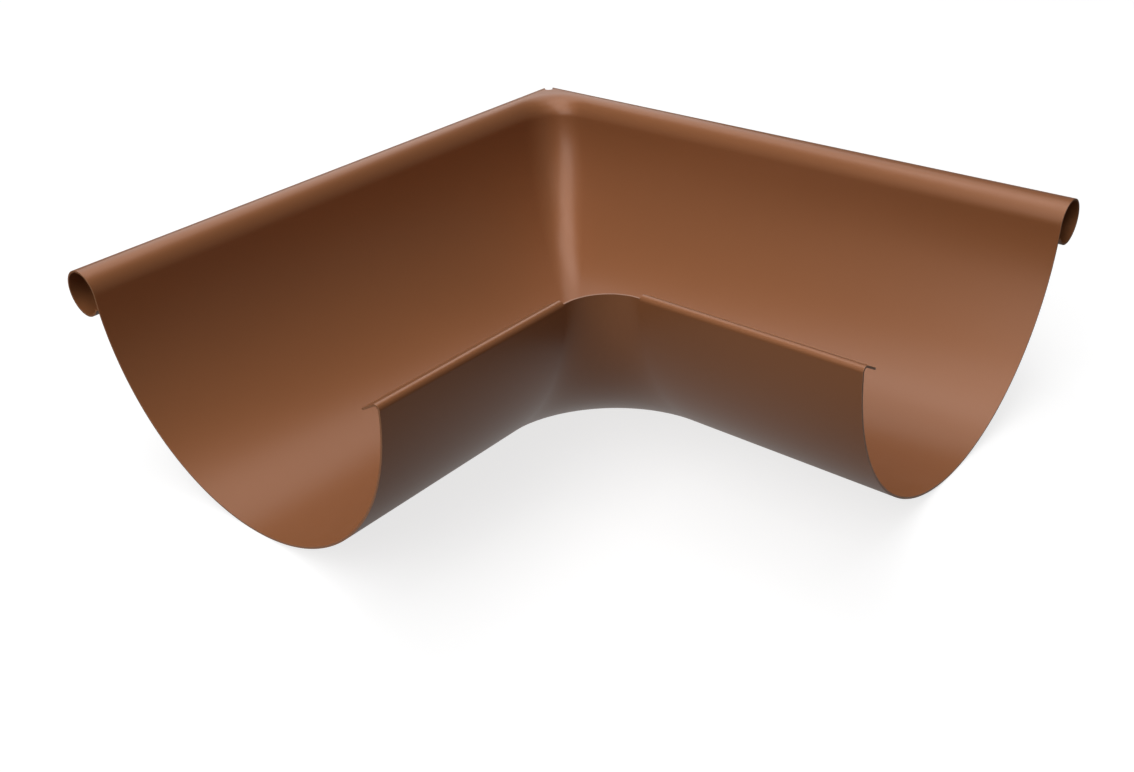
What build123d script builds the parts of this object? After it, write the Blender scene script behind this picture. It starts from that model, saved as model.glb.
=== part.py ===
from build123d import *
from math import acos, asin, atan, cos, degrees, hypot, radians, sin, sqrt
import os

# Outside corner piece for a half-round rain gutter, pressed from one sheet of coated steel.
# One leg runs along +X and the other along +Y, with open troughs facing +Z.
# Section points are (s, z): s runs from the trough's axis outwards to the bead, and z runs up.

# Driving dimensions, in millimetres, and degrees where the name says so.
sheet = 0.6  # thickness of the coated steel
trough_radius = 62.5  # outside radius of the half-round trough
leg_straight = 67.5  # straight stretch of each leg, from the inner corner's bend to the cut end
bead_radius = 7.4  # outside radius of the curl along the front rim
bead_rise = 1.35  # top of the curl above the trough's axis
bead_opening = 1.0  # gap between the curl's free edge and the front wall
lip_radius = 1.5  # outside radius of the fold along the back rim
lip_wall_rise = 0.2  # upright wall between the trough's axis level and that fold
lip_length = 5.2  # flat of the lip past its fold
lip_slope_degrees = 31.0  # fall of the lip towards the trough
inner_bend_radius = 14.5  # radius in plan of the back wall round the inner corner
inner_rim_rise = 1.1  # cut rim of the inner corner above the trough's axis
outer_bend_run = 17.0  # run of the outer corner's bend along each leg, at the trough's rim
notch_width = 3.2  # gap between the two cut ends of the curl at the outer corner
notch_depth = 2.3  # how far the notch runs in past the crossing of the curl's two top lines

# Bead: its outside continues the trough's inside face, so the two circles touch on the line of centres.
bead_z = bead_rise - bead_radius
bead_distance = trough_radius - sheet + bead_radius
bead_s = sqrt(bead_distance**2 - bead_z**2)
bead_reach = bead_s + bead_radius
bead_fall_degrees = degrees(asin(-bead_z / bead_distance))
bead_start_degrees = 180 - bead_fall_degrees
bead_top_degrees = 90

# The curl turns until its free edge lies the opening's width from the front wall.
edge_distance = trough_radius + bead_opening
edge_cosine = (bead_distance**2 + bead_radius**2 - edge_distance**2) / (2 * bead_distance * bead_radius)
edge_from_wall_degrees = degrees(acos(edge_cosine))
bead_end_degrees = bead_start_degrees + edge_from_wall_degrees - 360

# Corner bends in plan.
bend_axis = trough_radius + inner_bend_radius
leg_length = bend_axis + leg_straight
contact_slope = 1 - outer_bend_run / trough_radius
along_stretch = sqrt(1 + contact_slope)
across_stretch = sqrt(1 - contact_slope)
half_turn_degrees = degrees(atan(across_stretch / along_stretch))
corner_diagonal = sqrt(2)


def bent_strip(center, radius, start_degrees, end_degrees):
    """Section face of one bent stretch of the sheet, from its outside radius in by the sheet's thickness."""
    turn = end_degrees - start_degrees
    with BuildSketch() as strip:
        with BuildLine():
            outside = CenterArc(center, radius, start_degrees, turn)
            inside = CenterArc(center, radius - sheet, start_degrees, turn)
            Line(outside @ 0, inside @ 0)
            Line(outside @ 1, inside @ 1)
        make_face()
    return strip.sketch


def flat_strip(start, end):
    """Section face of one flat stretch of the sheet, on the right of the line from start to end."""
    length = hypot(end[0] - start[0], end[1] - start[1])
    right = (
        start[0] + sheet * (end[1] - start[1]) / length,
        start[1] - sheet * (end[0] - start[0]) / length,
    )
    far_right = (right[0] + end[0] - start[0], right[1] + end[1] - start[1])
    with BuildSketch() as strip:
        with BuildLine():
            Polyline(start, end, far_right, right, close=True)
        make_face()
    return strip.sketch


# Stretches of the section, from the back lip round to the curl's free edge.
fold_center = (lip_radius - trough_radius, lip_wall_rise)
fold_end_degrees = 90 - lip_slope_degrees
fold_end = (
    fold_center[0] + lip_radius * cos(radians(fold_end_degrees)),
    fold_center[1] + lip_radius * sin(radians(fold_end_degrees)),
)
lip_tip = (
    fold_end[0] + lip_length * cos(radians(lip_slope_degrees)),
    fold_end[1] - lip_length * sin(radians(lip_slope_degrees)),
)
lip_flat = flat_strip(fold_end, lip_tip)
lip_fold = bent_strip(fold_center, lip_radius, 180, fold_end_degrees)
lip_wall = flat_strip((-trough_radius, 0), (-trough_radius, lip_wall_rise))
back_wall = bent_strip((0, 0), trough_radius, 180, 270)
front_wall = bent_strip((0, 0), trough_radius, 270, 360 - bead_fall_degrees)
bead_inside = bent_strip((bead_s, bead_z), bead_radius, bead_start_degrees, bead_top_degrees)
bead_outside = bent_strip((bead_s, bead_z), bead_radius, bead_top_degrees, bead_end_degrees)

# The leg along +X is drawn on its cut end and runs back towards the corner.
leg_end = Plane(origin=(leg_length, 0, 0), x_dir=(0, -1, 0), z_dir=(-1, 0, 0))
corner_plane = Plane(origin=(0, 0, 0), z_dir=(1, -1, 0))

# Back half of the leg, with its lip, which stops where the inner corner's bend begins.
with BuildPart() as leg_back:
    with BuildSketch(leg_end):
        add([back_wall, lip_wall, lip_fold, lip_flat])
    extrude(amount=leg_straight)

# Front wall and the inside of the bead, as far as the plane where the outer corner's bend begins.
with BuildPart() as leg_front:
    with BuildSketch(leg_end):
        add([front_wall, bead_inside])
    extrude(amount=leg_length + bead_reach)
    split(bisect_by=Plane(origin=(0, 0, 0), z_dir=(1, -contact_slope, 0)), keep=Keep.TOP)

# Outside of the bead, which is cut parallel to the corner's diagonal and leaves half of the notch.
with BuildPart() as leg_curl:
    with BuildSketch(leg_end):
        add(bead_outside)
    extrude(amount=leg_length + bead_reach)
    split(bisect_by=corner_plane.offset(notch_width / 2), keep=Keep.TOP)

# Inner corner: the back wall turned about the bend's upright axis, and the level floor that lies beyond it.
with BuildPart() as inner_corner:
    with BuildSketch(Plane(origin=(bend_axis, bend_axis, 0), x_dir=(-1, 0, 0), z_dir=(0, 1, 0))):
        with Locations((bend_axis, 0)):
            add(back_wall)
            add(flat_strip((-trough_radius, 0), (-trough_radius, inner_rim_rise)))
            add(flat_strip((corner_diagonal * bend_axis, -trough_radius), (0, -trough_radius)))
    revolve(axis=Axis((bend_axis, bend_axis, 0), (0, 0, 1)), revolution_arc=90)
    split(bisect_by=Plane.XZ, keep=Keep.BOTTOM)
    split(bisect_by=Plane.YZ, keep=Keep.TOP)

# Outer corner, drawn with its diagonal along +X: the front wall and the bead's inside, turned about the
# upright line where the trough axes cross and then stretched, so that they meet both legs without a crease.
# The level top of the bead goes on to the crossing of the two top lines, less the notch.
bead_top_reach = corner_diagonal * bead_s
with BuildPart() as outer_corner:
    with BuildSketch(Plane.XZ.rotated((0, 0, -half_turn_degrees))):
        add([front_wall, bead_inside])
        add(flat_strip((bead_s, bead_rise), (bead_top_reach, bead_rise)))
    revolve(axis=Axis.Z, revolution_arc=2 * half_turn_degrees)
    scale(by=(along_stretch, across_stretch, 1))
    for side in (-1, 1):
        top_line = Plane(origin=(bead_top_reach, 0, 0), z_dir=(-1, side, 0))
        split(bisect_by=top_line, keep=Keep.TOP)
    with BuildSketch(Plane.XY.offset(bead_rise)):
        with Locations((bead_top_reach - notch_depth, 0)):
            SlotOverall(notch_depth + notch_width, notch_width, align=(Align.MIN, Align.CENTER))
    extrude(amount=-sheet, mode=Mode.SUBTRACT)

# The whole sheet, moved so that its bounding box stands centred on the origin.
plan_shift = (bead_reach - leg_length) / 2
with BuildPart() as gutter_miter:
    with Locations((plan_shift, plan_shift, trough_radius)):
        add([leg_back.part, leg_front.part, leg_curl.part])
    mirror(about=corner_plane)
    with Locations((plan_shift, plan_shift, trough_radius)):
        add(inner_corner.part)
        add(outer_corner.part, rotation=(0, 0, 225))
gutter_miter.part.label = "gutter_miter"

os.makedirs("parts", exist_ok=True)
export_step(gutter_miter.part, "parts/gutter_miter.step")
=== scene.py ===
# %% [markdown]
# # Half-round gutter corner
# The object is the outside corner of a rain gutter, pressed from one sheet of coated steel.
# The imported CAD model comes in first, as a fixed frame in metres, so every shape below already has its place.

import bmesh
import bpy
import numpy as np
from mathutils import Matrix, Vector


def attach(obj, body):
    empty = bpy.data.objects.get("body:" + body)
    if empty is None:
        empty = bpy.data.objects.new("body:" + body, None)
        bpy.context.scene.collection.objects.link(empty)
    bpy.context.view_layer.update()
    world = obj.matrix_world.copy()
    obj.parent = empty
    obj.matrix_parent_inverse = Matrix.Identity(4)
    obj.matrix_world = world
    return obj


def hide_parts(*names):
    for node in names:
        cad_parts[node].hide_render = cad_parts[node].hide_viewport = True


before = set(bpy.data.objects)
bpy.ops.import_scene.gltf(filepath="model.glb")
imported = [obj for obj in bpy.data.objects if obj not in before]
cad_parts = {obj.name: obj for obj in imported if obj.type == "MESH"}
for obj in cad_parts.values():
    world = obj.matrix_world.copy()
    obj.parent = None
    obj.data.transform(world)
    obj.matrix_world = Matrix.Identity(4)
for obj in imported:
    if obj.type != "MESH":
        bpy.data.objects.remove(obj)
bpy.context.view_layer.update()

print("CAD nodes:", sorted(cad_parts))

# %% [markdown]
# ## Sizes of the sheet
# A pressed part is known by its section and by how the section turns the corner.
# These are the part's own sizes, in millimetres. Lengths along a leg are counted from where the two trough
# axes cross, and heights from the level of those axes.
# The surface below runs midway through the sheet, so each radius loses half of the thickness.

# %% Sizes
MM = 0.001
SHEET = 0.6
HALF = SHEET / 2
TROUGH_RADIUS = 62.5
LEG_STRAIGHT = 67.5
BEAD_RADIUS = 7.4
BEAD_RISE = 1.35
BEAD_OPENING = 1.0
LIP_RADIUS = 1.5
LIP_WALL_RISE = 0.2
LIP_LENGTH = 5.2
LIP_SLOPE = np.radians(31.0)
INNER_BEND_RADIUS = 14.5
INNER_RIM_RISE = 1.1
OUTER_BEND_RUN = 17.0
NOTCH_WIDTH = 3.2
NOTCH_DEPTH = 2.3

bead_z = BEAD_RISE - BEAD_RADIUS
bead_distance = TROUGH_RADIUS - SHEET + BEAD_RADIUS
bead_s = np.sqrt(bead_distance**2 - bead_z**2)
bead_reach = bead_s + BEAD_RADIUS
bead_fall = np.arcsin(-bead_z / bead_distance)
edge_distance = TROUGH_RADIUS + BEAD_OPENING
edge_cosine = (bead_distance**2 + BEAD_RADIUS**2 - edge_distance**2) / (2 * bead_distance * BEAD_RADIUS)
bead_end = np.pi - bead_fall + np.arccos(edge_cosine) - 2 * np.pi
bend_axis = TROUGH_RADIUS + INNER_BEND_RADIUS
leg_length = bend_axis + LEG_STRAIGHT
contact_slope = 1 - OUTER_BEND_RUN / TROUGH_RADIUS
plan_shift = (bead_reach - leg_length) / 2
print(f"leg {leg_length:.1f} mm, bead reach {bead_reach:.2f} mm, plan shift {plan_shift:.2f} mm")

# %% [markdown]
# ## The section, stretch by stretch
# The section could be one curve, but the corner treats its stretches in different ways: the back half turns
# about an upright axis, the front half is pressed out into a crease, and the curl is cut.
# So each stretch is its own row of points (s, z), where s runs from the trough's axis towards the bead.
# Two rows lie close to each free edge, which keeps the shading of the flat metal right up to the edge.

# %% Section stretches
EDGE_ROW = 0.22
FOLD_STEPS, BACK_STEPS, FRONT_STEPS = 14, 60, 58
BEAD_INSIDE_STEPS, CURL_STEPS = 18, 46
LIP_INNER_ROWS = (3.4, 1.7)


def arc(center, radius, start, end, steps):
    """Points on a circle: the centre plus the radius times the cosine and sine of evenly spaced angles."""
    angles = np.linspace(start, end, steps + 1)
    return np.stack([center[0] + radius * np.cos(angles), center[1] + radius * np.sin(angles)], axis=1)


fold_center = np.array([LIP_RADIUS - TROUGH_RADIUS, LIP_WALL_RISE])
fold_row = arc(fold_center, LIP_RADIUS - HALF, np.pi / 2 - LIP_SLOPE, np.pi, FOLD_STEPS)
lip_direction = np.array([np.cos(LIP_SLOPE), -np.sin(LIP_SLOPE)])
lip_steps = np.array([LIP_LENGTH, LIP_LENGTH - EDGE_ROW, *LIP_INNER_ROWS])
lip_row = np.concatenate([fold_row[0] + lip_steps[:, None] * lip_direction, fold_row])

trough_radius_mid = TROUGH_RADIUS - HALF
wall_foot = np.array([[-trough_radius_mid, LIP_WALL_RISE]])
back_arc = arc((0, 0), trough_radius_mid, np.pi, 1.5 * np.pi, BACK_STEPS)
back_row = np.concatenate([wall_foot, back_arc])
rim_heights = np.array([INNER_RIM_RISE, INNER_RIM_RISE - EDGE_ROW, LIP_WALL_RISE])
rim_row = np.stack([np.full(len(rim_heights), -trough_radius_mid), rim_heights], axis=1)

front_arc = arc((0, 0), trough_radius_mid, 1.5 * np.pi, 2 * np.pi - bead_fall, FRONT_STEPS)
bead_radius_mid = BEAD_RADIUS - HALF
bead_center = (bead_s, bead_z)
bead_inside_row = arc(bead_center, bead_radius_mid, np.pi - bead_fall, np.pi / 2, BEAD_INSIDE_STEPS)
front_row = np.concatenate([front_arc, bead_inside_row[1:]])
curl_row = arc(bead_center, bead_radius_mid, np.pi / 2, bead_end, CURL_STEPS)
edge_angle = bead_end + EDGE_ROW / bead_radius_mid
edge_point = arc(bead_center, bead_radius_mid, edge_angle, edge_angle, 0)
curl_row = np.insert(curl_row, -1, edge_point, axis=0)
print("points in the stretches:", [len(row) for row in (lip_row, back_row, rim_row, front_row, curl_row)])

# %% [markdown]
# ## Where the stretches meet at the corner
# Patches that share an edge need the same points on it, or the sheet would show cracks.
# The inner corner is divided by angle. Rays from its bend axis through those angles also divide the trough's
# bottom line, so the same stations serve the floor, the front wall and the curl.
# The outer corner is divided by the distance across its diagonal, with close stations at the notch.

# %% Stations along the legs and round the corners
INNER_STEPS = 48
LEG_INNER_STATIONS = (2.5, 8, 18, 30, 42, 54, 62, 66)
NOTCH_POINTS, LINE_POINTS = 5, 12
LINE_START = 1.0
turn = np.linspace(np.pi, 1.5 * np.pi, INNER_STEPS + 1)
ray_share = np.tan(np.linspace(0, np.pi / 4, INNER_STEPS // 2 + 1))

leg_steps = [0, EDGE_ROW, *LEG_INNER_STATIONS, LEG_STRAIGHT - EDGE_ROW, LEG_STRAIGHT]
leg_stations = bend_axis + np.array(leg_steps)

along_stretch = np.sqrt(1 + contact_slope)
across_stretch = np.sqrt(1 - contact_slope)
half_turn = np.arctan(across_stretch / along_stretch)
notch_half = NOTCH_WIDTH / 2
notch_offsets = np.linspace(0, notch_half, NOTCH_POINTS)
line_end = across_stretch * bead_s * np.sin(half_turn)
line_spread = np.linspace(notch_half + LINE_START, line_end, LINE_POINTS)
line_offsets = np.concatenate([[notch_half + EDGE_ROW], line_spread])
half_offsets = np.concatenate([notch_offsets, line_offsets])
offsets = np.concatenate([-half_offsets[:0:-1], half_offsets])
crease_angles = np.arcsin(offsets / (across_stretch * bead_s))
print("stations: inner corner", len(turn), "leg", len(leg_stations), "outer corner", len(crease_angles))

# %% [markdown]
# ## The two legs
# A leg is a profile carried along a straight path. Each point of the profile has its own start, because the
# corner begins further along for some stretches than for others.
# The leg along +X is worked out, and the other one is its mirror image with x and y exchanged.

# %% Legs


def straight(row, starts, shares, end):
    """Carries a section row along +X: x goes from the end back to the row's own start by the given shares,
    y is minus the section's s, and z is the section's z. One number as the start serves the whole row."""
    starts = np.broadcast_to(starts, len(row))
    x = end - (end - starts)[:, None] * shares[None, :]
    y = np.broadcast_to(-row[:, :1], x.shape)
    z = np.broadcast_to(row[:, 1:], x.shape)
    return np.stack([x, y, z], axis=-1)


leg_shares = (leg_stations[-1] - leg_stations) / LEG_STRAIGHT
contact_start = -contact_slope * front_row[:, 0]
curl_contact = -contact_slope * bead_s
miter_start = np.sqrt(2) * notch_half - curl_row[:, 0]
line_shares = (line_end - np.concatenate([[notch_half], line_offsets])) / (line_end - notch_half)

leg_patches = [
    straight(lip_row, bend_axis, leg_shares, leg_length),
    straight(back_row, bend_axis, leg_shares, leg_length),
    straight(front_row, bend_axis, leg_shares, leg_length),
    straight(front_row, contact_start, ray_share, bend_axis),
    straight(curl_row, bend_axis, leg_shares, leg_length),
    straight(curl_row, curl_contact, ray_share, bend_axis),
    straight(curl_row, miter_start, line_shares, curl_contact),
]
mirrored_patches = [patch[..., [1, 0, 2]] for patch in leg_patches]
print("patches of one leg:", [patch.shape[:2] for patch in leg_patches])

# %% [markdown]
# ## The inner corner
# Seen from the fascia the back wall turns softly. That is the back stretch turned about an upright axis, with
# a plain rim in place of the folded lip.
# Beyond it the trough's bottom is level, so the floor is a flat patch between that turn and the two bottom lines.

# %% Inner corner


def turned(row):
    """Turns a section row about the bend's upright axis: the distance from the axis is the bend axis plus s."""
    reach = bend_axis + row[:, :1]
    x = bend_axis + reach * np.cos(turn)
    y = bend_axis + reach * np.sin(turn)
    return np.stack([x, y, np.broadcast_to(row[:, 1:], x.shape)], axis=-1)


FLOOR_STEPS = 8
longest = bend_axis / np.maximum(np.abs(np.cos(turn)), np.abs(np.sin(turn)))
shares = np.linspace(0, 1, FLOOR_STEPS + 1)[:, None]
floor_reach = bend_axis + shares * (longest - bend_axis)
floor_patch = np.stack(
    [
        bend_axis + floor_reach * np.cos(turn),
        bend_axis + floor_reach * np.sin(turn),
        np.full(floor_reach.shape, -trough_radius_mid),
    ],
    axis=-1,
)
inner_patches = [turned(back_row), turned(rim_row), floor_patch]
print("patches of the inner corner:", [patch.shape[:2] for patch in inner_patches])

# %% [markdown]
# ## The outer corner
# The front wall is pressed out into a soft crease which fades away at the trough's bottom.
# A circle turned about the upright line through the axes' crossing and then stretched along the diagonal meets
# both legs without a kink. The level top of the bead fills the space out to its two straight top lines, and the
# small notch where the curl was cut shows as a shallow curve in that top.

# %% Outer corner
TOP_SHARES = (0, 0.3, 0.6, 0.94, 1.0)


def on_diagonal(along, across, z):
    """Places points by their distance along and across the corner's diagonal, which points to -X and -Y."""
    x = (-along - across) / np.sqrt(2)
    y = (-along + across) / np.sqrt(2)
    return np.stack(np.broadcast_arrays(x, y, z), axis=-1)


crease = on_diagonal(
    along_stretch * front_row[:, :1] * np.cos(crease_angles),
    across_stretch * front_row[:, :1] * np.sin(crease_angles),
    front_row[:, 1:],
)
bead_top_reach = np.sqrt(2) * bead_s
top_line = bead_top_reach - np.abs(offsets)
notch_bottom = bead_top_reach - NOTCH_DEPTH
notch_line = notch_bottom + (NOTCH_DEPTH - notch_half) * (offsets / notch_half) ** 2
outer_line = np.where(np.abs(offsets) < notch_half, notch_line, top_line)
inner_line = along_stretch * bead_s * np.cos(crease_angles)
top_shares = np.array(TOP_SHARES)[:, None]
bead_top = on_diagonal(inner_line + top_shares * (outer_line - inner_line), offsets, BEAD_RISE - HALF)
outer_patches = [crease, bead_top]
print("patches of the outer corner:", [patch.shape[:2] for patch in outer_patches])

# %% [markdown]
# ## One closed sheet
# The real part is one sheet with no seam, so the patches are welded where they share points.
# Its thickness comes later, because a wall can only be closed once the surface is whole.

# %% Weld the patches
WELD = 1e-6


def join_patches(patches):
    """Numbers each patch's points row by row, and makes a face from each point and its neighbours one row and
    one column on."""
    points, faces, count = [], [], 0
    for patch in patches:
        rows, columns = patch.shape[:2]
        number = count + np.arange(rows * columns).reshape(rows, columns)
        corners = [number[:-1, :-1], number[1:, :-1], number[1:, 1:], number[:-1, 1:]]
        faces.append(np.stack(corners, axis=-1).reshape(-1, 4))
        points.append(patch.reshape(-1, 3))
        count += rows * columns
    return np.concatenate(points), np.concatenate(faces)


points, faces = join_patches(leg_patches + mirrored_patches + inner_patches + outer_patches)
points = (points + np.array([plan_shift, plan_shift, TROUGH_RADIUS])) * MM

sheet_mesh = bpy.data.meshes.new("gutter_sheet")
sheet_mesh.from_pydata(points, [], faces)
welded = bmesh.new()
welded.from_mesh(sheet_mesh)
bmesh.ops.remove_doubles(welded, verts=welded.verts, dist=WELD)
bmesh.ops.recalc_face_normals(welded, faces=welded.faces)
welded.to_mesh(sheet_mesh)
welded.free()
sheet_mesh.shade_smooth()
print("welded points:", len(sheet_mesh.vertices), "of", len(points))

# %% [markdown]
# ## Marks on the sawn ends
# The legs of the real part are sawn to length, so those two ends look different from the coated edges.
# They could be painted by hand. A number on each point is surer: an edge with only one face is a free edge, and
# the ones that lie on a leg's end are marked, for the coating to read.

# %% Mark the sawn ends
edge_ends = np.zeros((len(sheet_mesh.edges), 2), dtype=np.int32)
sheet_mesh.edges.foreach_get("vertices", edge_ends.ravel())
face_edges = np.zeros(len(sheet_mesh.loops), dtype=np.int32)
sheet_mesh.loops.foreach_get("edge_index", face_edges)
free_edges = np.bincount(face_edges, minlength=len(edge_ends)) == 1
places = np.zeros((len(sheet_mesh.vertices), 3), dtype=np.float32)
sheet_mesh.vertices.foreach_get("co", places.ravel())
leg_end = (leg_length + plan_shift) * MM
at_leg_end = places[:, :2].max(axis=1) > leg_end - WELD
cut_edge = np.zeros(len(sheet_mesh.vertices), dtype=np.float32)
cut_edge[edge_ends[free_edges].ravel()] = 1
cut_edge *= at_leg_end
sheet_mesh.attributes.new("cut_edge", "FLOAT", "POINT").data.foreach_set("value", cut_edge)
print("points on the sawn ends:", int(cut_edge.sum()), "of", len(cut_edge))

# %% [markdown]
# ## Thickness and soft edges
# Solidify gives the surface the metal's thickness, half to each side. A cut edge of real sheet is never perfectly
# sharp, so a fine bevel rounds it, which gives it a thin line of light.
# Both are modifiers, so the plain surface stays easy to change. The finished sheet is then tested for open edges.

# %% Thicken and soften the edges
EDGE_ROUNDING = 0.14
ROUNDING_SEGMENTS = 2
SHARP_ANGLE = np.radians(50)
gutter_sheet = bpy.data.objects.new("gutter_sheet", sheet_mesh)
bpy.context.scene.collection.objects.link(gutter_sheet)
thickness = gutter_sheet.modifiers.new("thickness", "SOLIDIFY")
thickness.thickness = SHEET * MM
thickness.offset = 0
thickness.use_even_offset = True
softening = gutter_sheet.modifiers.new("edge softening", "BEVEL")
softening.width = EDGE_ROUNDING * MM
softening.segments = ROUNDING_SEGMENTS
softening.limit_method = "ANGLE"
softening.angle_limit = SHARP_ANGLE
softening.harden_normals = True

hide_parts("gutter_miter")
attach(gutter_sheet, "root")

finished = gutter_sheet.evaluated_get(bpy.context.evaluated_depsgraph_get()).to_mesh()
check = bmesh.new()
check.from_mesh(finished)
open_edges = sum(not edge.is_manifold for edge in check.edges)
volume = check.calc_volume() / MM**3
print(f"sheet: {len(finished.polygons)} faces, {open_edges} open edges, {volume:.0f} mm3")
check.free()
gutter_sheet.to_mesh_clear()

# %% [markdown]
# ## The coating
# Coil-coated steel carries a satin paint film with fine metal flake in it, rolled on and baked before pressing.
# So the film mirrors a little of its own brown as well as white, which is a partly metallic paint.
# Up close it has a faint orange peel, and its colour and gloss drift slowly over the sheet. Where the legs were
# sawn to length, the film is thin, matt and a little paler; the other edges were coated. All of that follows the
# object's own coordinates or its marked edges, so it stays put when the part is turned.

# %% Copper-brown coating
BROWN = (0.335, 0.129, 0.050, 1.0)
BROWN_DEEP = (0.305, 0.115, 0.043, 1.0)
EDGE_TAN = (0.42, 0.19, 0.09, 1.0)
DRIFT_SCALE, DRIFT_DETAIL = 14, 3
PEEL_SCALE, PEEL_DETAIL = 900, 2
PEEL_STRENGTH, PEEL_HEIGHT = 0.08, 0.00003
ROUGH_LOW, ROUGH_HIGH = 0.47, 0.53
FILM_METAL, SAWN_METAL = 0.3, 0.1
COAT_IOR, COAT_ROUGHNESS = 1.4, 0.3


def copper_brown_coating():
    """Satin flake paint: noise drifts between two browns, a finer noise gives the film's peel, and the cut-edge
    mark, broken up by that finer noise, turns the colour to the matt tan of a thin film with little flake."""
    material = bpy.data.materials.new("copper_brown_coating")
    material.use_nodes = True
    nodes, links = material.node_tree.nodes, material.node_tree.links
    paint = nodes["Principled BSDF"]
    place = nodes.new("ShaderNodeTexCoord")

    drift = nodes.new("ShaderNodeTexNoise")
    drift.inputs["Scale"].default_value = DRIFT_SCALE
    drift.inputs["Detail"].default_value = DRIFT_DETAIL
    links.new(place.outputs["Object"], drift.inputs["Vector"])
    film_color = nodes.new("ShaderNodeMix")
    film_color.data_type = "RGBA"
    film_color.inputs["A"].default_value = BROWN_DEEP
    film_color.inputs["B"].default_value = BROWN
    links.new(drift.outputs["Fac"], film_color.inputs["Factor"])

    peel = nodes.new("ShaderNodeTexNoise")
    peel.inputs["Scale"].default_value = PEEL_SCALE
    peel.inputs["Detail"].default_value = PEEL_DETAIL
    links.new(place.outputs["Object"], peel.inputs["Vector"])
    edge_mark = nodes.new("ShaderNodeAttribute")
    edge_mark.attribute_name = "cut_edge"
    wear = nodes.new("ShaderNodeMath")
    wear.operation = "MULTIPLY"
    links.new(edge_mark.outputs["Fac"], wear.inputs[0])
    links.new(peel.outputs["Fac"], wear.inputs[1])
    worn_color = nodes.new("ShaderNodeMix")
    worn_color.data_type = "RGBA"
    worn_color.inputs["B"].default_value = EDGE_TAN
    links.new(film_color.outputs["Result"], worn_color.inputs["A"])
    links.new(wear.outputs["Value"], worn_color.inputs["Factor"])
    links.new(worn_color.outputs["Result"], paint.inputs["Base Color"])

    gloss = nodes.new("ShaderNodeMapRange")
    gloss.inputs["To Min"].default_value = ROUGH_LOW
    gloss.inputs["To Max"].default_value = ROUGH_HIGH
    links.new(drift.outputs["Fac"], gloss.inputs["Value"])
    links.new(gloss.outputs["Result"], paint.inputs["Roughness"])
    film = nodes.new("ShaderNodeBump")
    film.inputs["Strength"].default_value = PEEL_STRENGTH
    film.inputs["Distance"].default_value = PEEL_HEIGHT
    links.new(peel.outputs["Fac"], film.inputs["Height"])
    links.new(film.outputs["Normal"], paint.inputs["Normal"])
    flake = nodes.new("ShaderNodeMapRange")
    flake.inputs["To Min"].default_value = FILM_METAL
    flake.inputs["To Max"].default_value = SAWN_METAL
    links.new(edge_mark.outputs["Fac"], flake.inputs["Value"])
    links.new(flake.outputs["Result"], paint.inputs["Metallic"])
    paint.inputs["Specular IOR Level"].default_value = 0.0
    paint.inputs["Coat Weight"].default_value = 1.0
    paint.inputs["Coat IOR"].default_value = COAT_IOR
    paint.inputs["Coat Roughness"].default_value = COAT_ROUGHNESS
    return material


sheet_mesh.materials.append(copper_brown_coating())
print("finish:", sheet_mesh.materials[0].name)

# %% [markdown]
# ## Floor
# The part lies on a plain pale floor, so that its shadow shows where it rests.
# A truly white floor would throw light up under the part, so the floor is dark grey to the light and is lifted to
# white only for what the camera sees. What the paint mirrors is a painted pool of light on the floor: pale near the
# part and fading to nothing further off, a painted reflection which keeps its outlines dark and clear.

# %% Floor
FLOOR_HALF_WIDTH = 3.0
# The painted pool of light that the paint mirrors on the floor: its radius in metres, and its mirrored share at the
# part.
PAINTED_POOL_RADIUS = 0.25
PAINTED_POOL_MIRRORED = 0.6
DARK_GREY = (0.1, 0.1, 0.1, 1)
PALE_GREY = (0.35, 0.35, 0.35, 1)
WHITE = (1, 1, 1, 1)
WHITE_ADDED = 0.76
floor_mesh = bpy.data.meshes.new("studio_floor")
corners = np.array([[-1, -1, 0], [1, -1, 0], [1, 1, 0], [-1, 1, 0]]) * FLOOR_HALF_WIDTH
floor_mesh.from_pydata(corners, [], [(0, 1, 2, 3)])
studio_floor = bpy.data.objects.new("studio_floor", floor_mesh)
bpy.context.scene.collection.objects.link(studio_floor)


def seen_share(nodes, links):
    """A node that gives one for rays from the camera, and its second input, the mirrored share, for rays that bounced
    off gloss or went through glass."""
    ray = nodes.new("ShaderNodeLightPath")
    bounced = nodes.new("ShaderNodeMath")
    bounced.operation = "ADD"
    links.new(ray.outputs["Is Glossy Ray"], bounced.inputs[0])
    links.new(ray.outputs["Is Transmission Ray"], bounced.inputs[1])
    share = nodes.new("ShaderNodeMath")
    share.operation = "MULTIPLY_ADD"
    links.new(bounced.outputs["Value"], share.inputs[0])
    links.new(ray.outputs["Is Camera Ray"], share.inputs[2])
    return share


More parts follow.
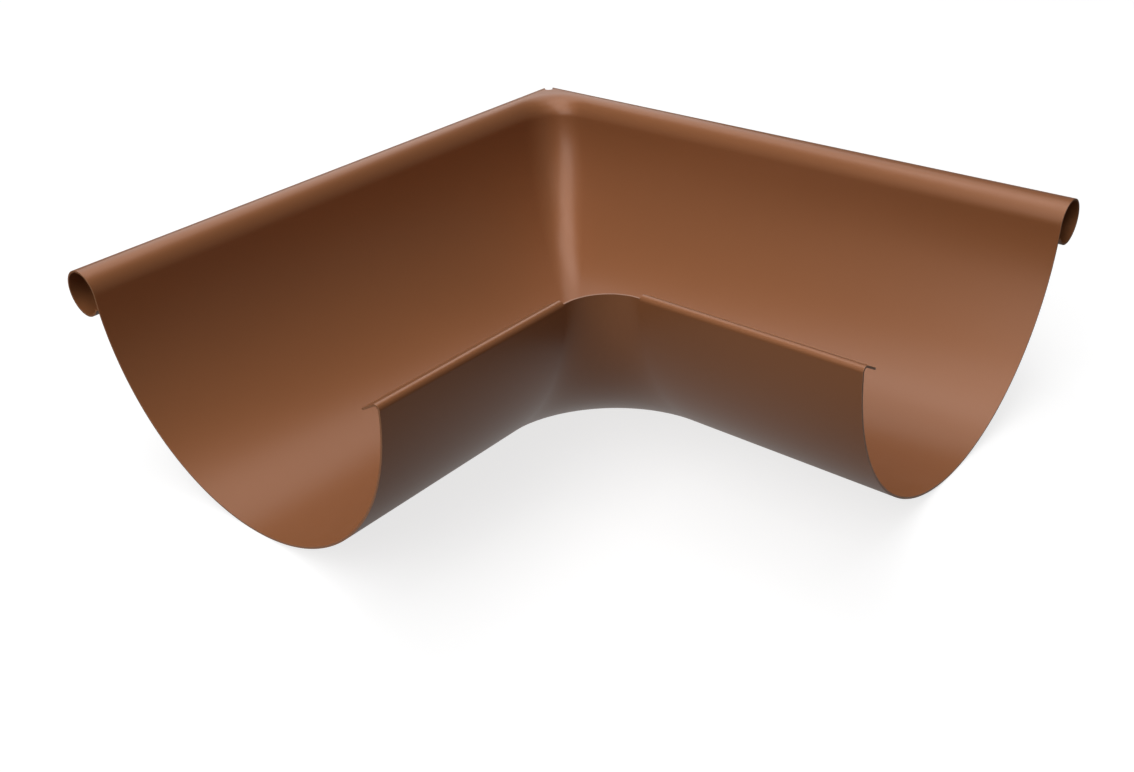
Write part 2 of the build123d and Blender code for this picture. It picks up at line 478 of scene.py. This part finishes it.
def pale_floor():
    """Two matt floors mixed by the seen share: a dark grey one for the light, and for the eye a pale one with white
    added, which keeps the shadow. The mirrored share is a painted pool of light that fades with the distance from the
    part."""
    material = bpy.data.materials.new("pale_floor")
    material.use_nodes = True
    nodes, links = material.node_tree.nodes, material.node_tree.links
    nodes.remove(nodes["Principled BSDF"])
    place = nodes.new("ShaderNodeTexCoord")
    distance = nodes.new("ShaderNodeVectorMath")
    distance.operation = "LENGTH"
    links.new(place.outputs["Object"], distance.inputs[0])
    # Painted pool of light: the mirrored share is highest at the part and falls to nothing at the pool's radius.
    painted_pool = nodes.new("ShaderNodeMapRange")
    painted_pool.inputs["From Max"].default_value = PAINTED_POOL_RADIUS
    painted_pool.inputs["To Min"].default_value = PAINTED_POOL_MIRRORED
    painted_pool.inputs["To Max"].default_value = 0
    links.new(distance.outputs["Value"], painted_pool.inputs["Value"])
    share = seen_share(nodes, links)
    links.new(painted_pool.outputs["Result"], share.inputs[1])

    dark = nodes.new("ShaderNodeBsdfDiffuse")
    dark.inputs["Color"].default_value = DARK_GREY
    pale = nodes.new("ShaderNodeBsdfDiffuse")
    pale.inputs["Color"].default_value = PALE_GREY
    white = nodes.new("ShaderNodeEmission")
    white.inputs["Color"].default_value = WHITE
    white.inputs["Strength"].default_value = WHITE_ADDED
    lifted = nodes.new("ShaderNodeAddShader")
    links.new(pale.outputs["BSDF"], lifted.inputs[0])
    links.new(white.outputs["Emission"], lifted.inputs[1])
    floor = nodes.new("ShaderNodeMixShader")
    links.new(share.outputs["Value"], floor.inputs["Fac"])
    links.new(dark.outputs["BSDF"], floor.inputs[1])
    links.new(lifted.outputs["Shader"], floor.inputs[2])
    links.new(floor.outputs["Shader"], nodes["Material Output"].inputs["Surface"])
    return material


floor_mesh.materials.append(pale_floor())
print("floor:", 2 * FLOOR_HALF_WIDTH, "m square")

# %% [markdown]
# ## Surround
# Behind the part the photo is plain white. A white room all round would wash out the paint's shading, so the surround
# is white to the camera, dimmer in what the paint mirrors, and gives only a little light of its own.

# %% Surround
SURROUND_LIGHT = 0.06
SURROUND_MIRRORED = 0.15
world = bpy.data.worlds.new("studio")
bpy.context.scene.world = world
world.use_nodes = True
surround = world.node_tree.nodes["Background"]
surround.inputs["Color"].default_value = WHITE
strength = world.node_tree.nodes.new("ShaderNodeMath")
strength.operation = "MAXIMUM"
strength.inputs[1].default_value = SURROUND_LIGHT
surround_share = seen_share(world.node_tree.nodes, world.node_tree.links)
surround_share.inputs[1].default_value = SURROUND_MIRRORED
world.node_tree.links.new(surround_share.outputs["Value"], strength.inputs[0])
world.node_tree.links.new(strength.outputs["Value"], surround.inputs["Strength"])
print("surround strength:", SURROUND_LIGHT)

# %% [markdown]
# ## Lamps
# Soft light over a curved sheet needs large lamps, as in a photographer's studio: a big softbox at the left models
# the trough, one above and one behind it draw the line of light along the bead, and a weak one fills from the front.

# %% Softboxes
LOOK_AT = Vector((-0.01, -0.01, 0.03))
LAMP_DISTANCE = 2.0


def softbox(name, azimuth, elevation, distance, size, power):
    """An area lamp that faces the part, placed by its direction in degrees and its distance; its size is its width
    and height."""
    lamp = bpy.data.lights.new(name, "AREA")
    lamp.shape = "RECTANGLE"
    lamp.size, lamp.size_y = size
    lamp.energy = power
    box = bpy.data.objects.new(name, lamp)
    az, el = np.radians(azimuth), np.radians(elevation)
    outward = Vector((np.cos(el) * np.cos(az), np.cos(el) * np.sin(az), np.sin(el)))
    box.location = LOOK_AT + distance * outward
    box.rotation_euler = outward.to_track_quat("Z", "Y").to_euler()
    box.visible_camera = False
    bpy.context.scene.collection.objects.link(box)
    return box


softboxes = [
    softbox("left_softbox", 5, 44, LAMP_DISTANCE, (1.3, 2.4), 24),
    softbox("top_softbox", 280, 84, LAMP_DISTANCE, (1.2, 1.2), 11),
    softbox("back_softbox", 231, 44, LAMP_DISTANCE, (1.3, 2.2), 12.5),
    softbox("front_softbox", 55, 52, LAMP_DISTANCE, (1.4, 1.2), 2.5),
]
print("softboxes:", [box.name for box in softboxes])

# %% [markdown]
# ## Camera
# The camera stands where the photograph was taken from: in front of the inner corner and above it.
# Its place, lens and picture centre come from fitting the part's edges to the photograph, in pixels of that picture.

# %% Camera
EYE = Vector((0.27553, 0.23360, 0.21763))
HEADING = np.radians(221.46)
PITCH = np.radians(-28.579)
ROLL = np.radians(-2.70)
FOCAL_PIXELS = 1280.58
IMAGE_WIDTH, IMAGE_HEIGHT = 1134, 772
CENTER_X, CENTER_Y = 565.56, 352.63
SENSOR = 36.0
NEAREST = 0.01

look = Vector((np.cos(PITCH) * np.cos(HEADING), np.cos(PITCH) * np.sin(HEADING), np.sin(PITCH)))
level_right = look.cross(Vector((0, 0, 1))).normalized()
level_up = level_right.cross(look)
right = level_right * np.cos(ROLL) + level_up * np.sin(ROLL)
up = right.cross(look)
lens = bpy.data.cameras.new("camera")
lens.sensor_width = SENSOR
lens.lens = FOCAL_PIXELS * SENSOR / IMAGE_WIDTH
lens.shift_x = (IMAGE_WIDTH / 2 - CENTER_X) / IMAGE_WIDTH
lens.shift_y = (CENTER_Y - IMAGE_HEIGHT / 2) / IMAGE_WIDTH
lens.clip_start = NEAREST
camera = bpy.data.objects.new("camera", lens)
camera.matrix_world = Matrix.Translation(EYE) @ Matrix((right, up, -look)).transposed().to_4x4()
bpy.context.scene.collection.objects.link(camera)
bpy.context.scene.camera = camera
bpy.context.scene.view_settings.view_transform = "Standard"
print(f"camera: {lens.lens:.2f} mm lens")
